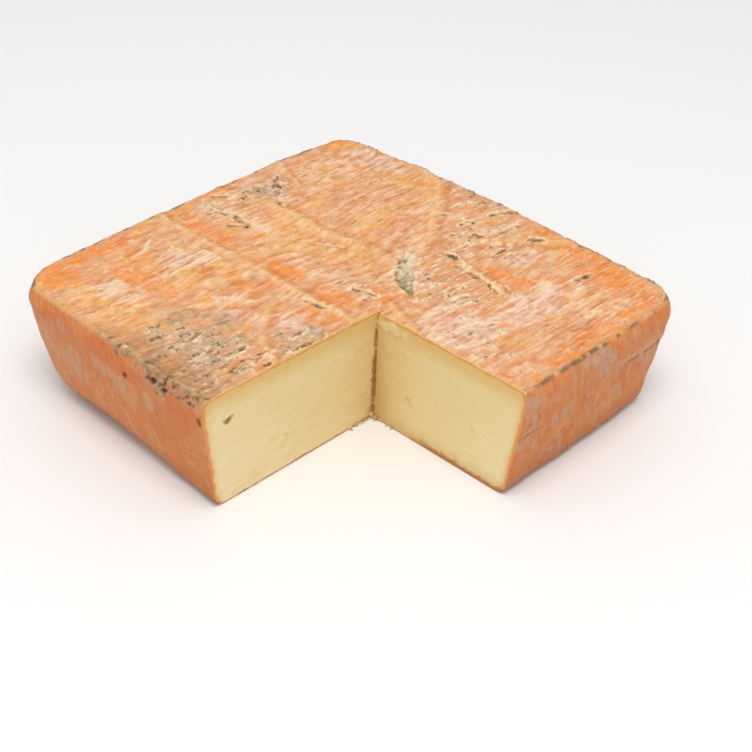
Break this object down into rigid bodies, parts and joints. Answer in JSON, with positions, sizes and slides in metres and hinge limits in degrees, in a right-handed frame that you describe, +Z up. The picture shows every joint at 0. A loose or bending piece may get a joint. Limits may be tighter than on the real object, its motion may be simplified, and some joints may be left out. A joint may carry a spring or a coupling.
{
  "type": "cheese wheel",
  "caption": "Square washed-rind soft cheese lying flat, with one corner quarter cut away to show pale straw paste under an orange rind.",
  "frame": {"origin": "middle of the underside's bounding box, on the surface the cheese rests on", "axes": "+Z up through the thickness; the sides run along X and Y; the missing quarter is at +X, -Y"},
  "size_m": [0.1984, 0.1972, 0.051],
  "materials": {
    "washed_rind": "satin, dry to slightly tacky rind, mottled salmon and orange with grey-green mould; the cut faces are pale straw paste"
  },
  "bodies": {
    "root": {"cheese": "washed_rind"}
  },
  "joints": []
}
